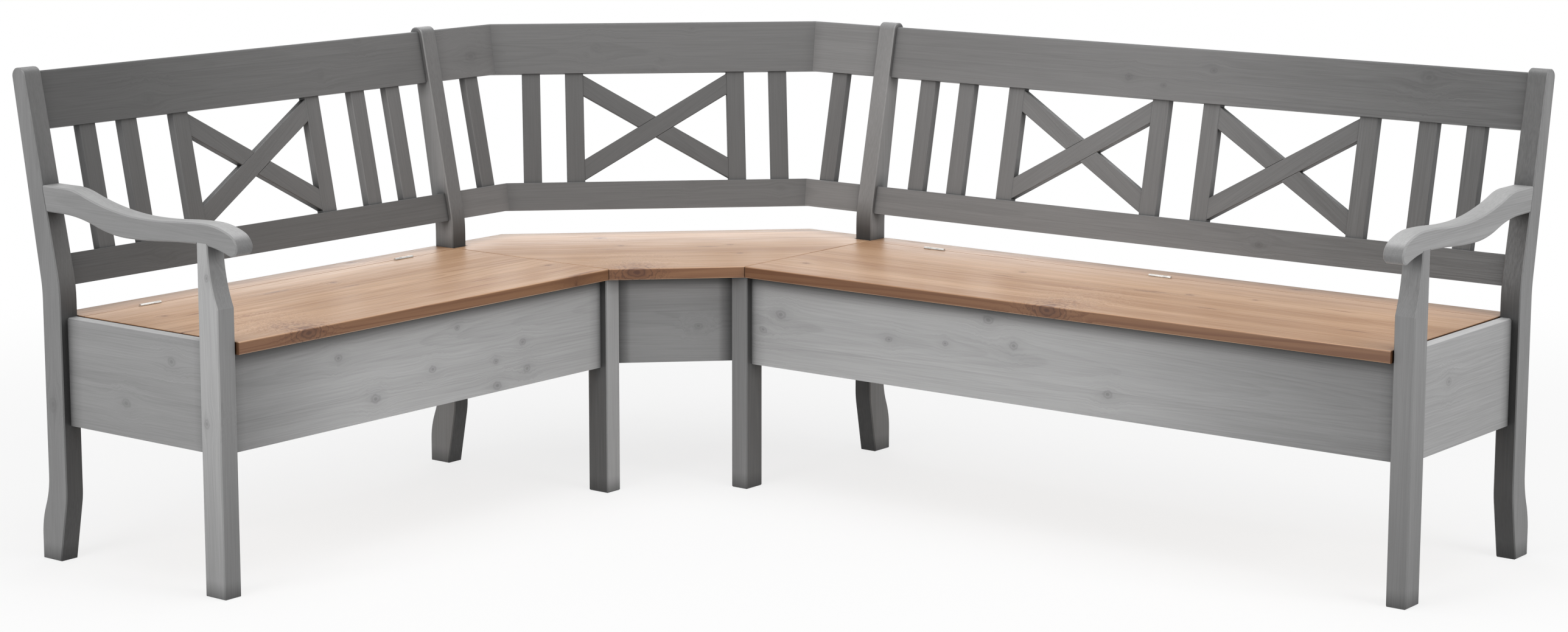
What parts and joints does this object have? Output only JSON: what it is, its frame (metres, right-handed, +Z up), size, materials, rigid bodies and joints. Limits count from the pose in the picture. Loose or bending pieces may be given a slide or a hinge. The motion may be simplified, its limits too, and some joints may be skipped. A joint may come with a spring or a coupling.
{
  "type": "corner storage bench",
  "caption": "Wooden corner bench with a leaning back of slats and crossed bars, a diagonal corner, curved armrests and hinged seat lids over storage chests.",
  "frame": {"origin": "on the floor, under the middle of the bounding box", "axes": "+X along the right bench towards its outer end, +Y towards the back of the right bench, +Z up"},
  "size_m": [2.2136, 1.7636, 0.913],
  "materials": {
    "grey_pine": "grey stained, matt",
    "seat_pine": "waxed, satin",
    "chest_pine": "unfinished",
    "hinge_nickel": "nickel plated, satin"
  },
  "bodies": {
    "bench": {"corner_apron": "grey_pine", "corner_back_board_diagonal": "grey_pine", "corner_back_board_left": "grey_pine", "corner_back_board_right": "grey_pine", "corner_cross_falling": "grey_pine", "corner_cross_rising": "grey_pine", "corner_front_leg_left": "grey_pine", "corner_front_leg_right": "grey_pine", "corner_lower_rail_diagonal": "grey_pine", "corner_lower_rail_left": "grey_pine", "corner_lower_rail_right": "grey_pine", "corner_partition_left": "grey_pine", "corner_partition_right": "grey_pine", "corner_rear_post_left": "grey_pine", "corner_rear_post_right": "grey_pine", "corner_seat": "seat_pine", "corner_slat_left": "grey_pine", "corner_slat_right": "grey_pine", "corner_slats_diagonal": "grey_pine", "corner_stiles": "grey_pine", "corner_top_rail_diagonal": "grey_pine", "corner_top_rail_left": "grey_pine", "corner_top_rail_right": "grey_pine", "hinge_pins": "hinge_nickel", "left_armrest": "grey_pine", "left_back_board": "grey_pine", "left_bottom": "chest_pine", "left_bottom_battens": "chest_pine", "left_cross_falling": "grey_pine", "left_cross_rising": "grey_pine", "left_end_panel": "grey_pine", "left_front_board": "grey_pine", "left_front_post": "grey_pine", "left_hinge_fixed_leaves": "hinge_nickel", "left_lower_rail": "grey_pine", "left_rear_post": "grey_pine", "left_seat_strip": "seat_pine", "left_slats": "grey_pine", "left_stiles": "grey_pine", "left_top_rail": "grey_pine", "right_armrest": "grey_pine", "right_back_board": "grey_pine", "right_bottom": "chest_pine", "right_bottom_battens": "chest_pine", "right_cross_falling": "grey_pine", "right_cross_rising": "grey_pine", "right_end_panel": "grey_pine", "right_front_board": "grey_pine", "right_front_post": "grey_pine", "right_hinge_fixed_leaves": "hinge_nickel", "right_lower_rail": "grey_pine", "right_rear_post": "grey_pine", "right_seat_strip": "seat_pine", "right_slats": "grey_pine", "right_stiles": "grey_pine", "right_top_rail": "grey_pine"},
    "left_lid": {"left_lid": "seat_pine", "left_hinge_lid_leaves": "hinge_nickel"},
    "right_lid": {"right_lid": "seat_pine", "right_hinge_lid_leaves": "hinge_nickel"}
  },
  "joints": [
    {"name": "left_lid_hinge", "type": "hinge", "parent": "bench", "child": "left_lid", "pos_m": [-0.97823, -0.34677, 0.461], "axis": [0, -1, 0], "range_deg": [0, 103]},
    {"name": "right_lid_hinge", "type": "hinge", "parent": "bench", "child": "right_lid", "pos_m": [0.34677, 0.75323, 0.461], "axis": [-1, 0, 0], "range_deg": [0, 103]}
  ]
}
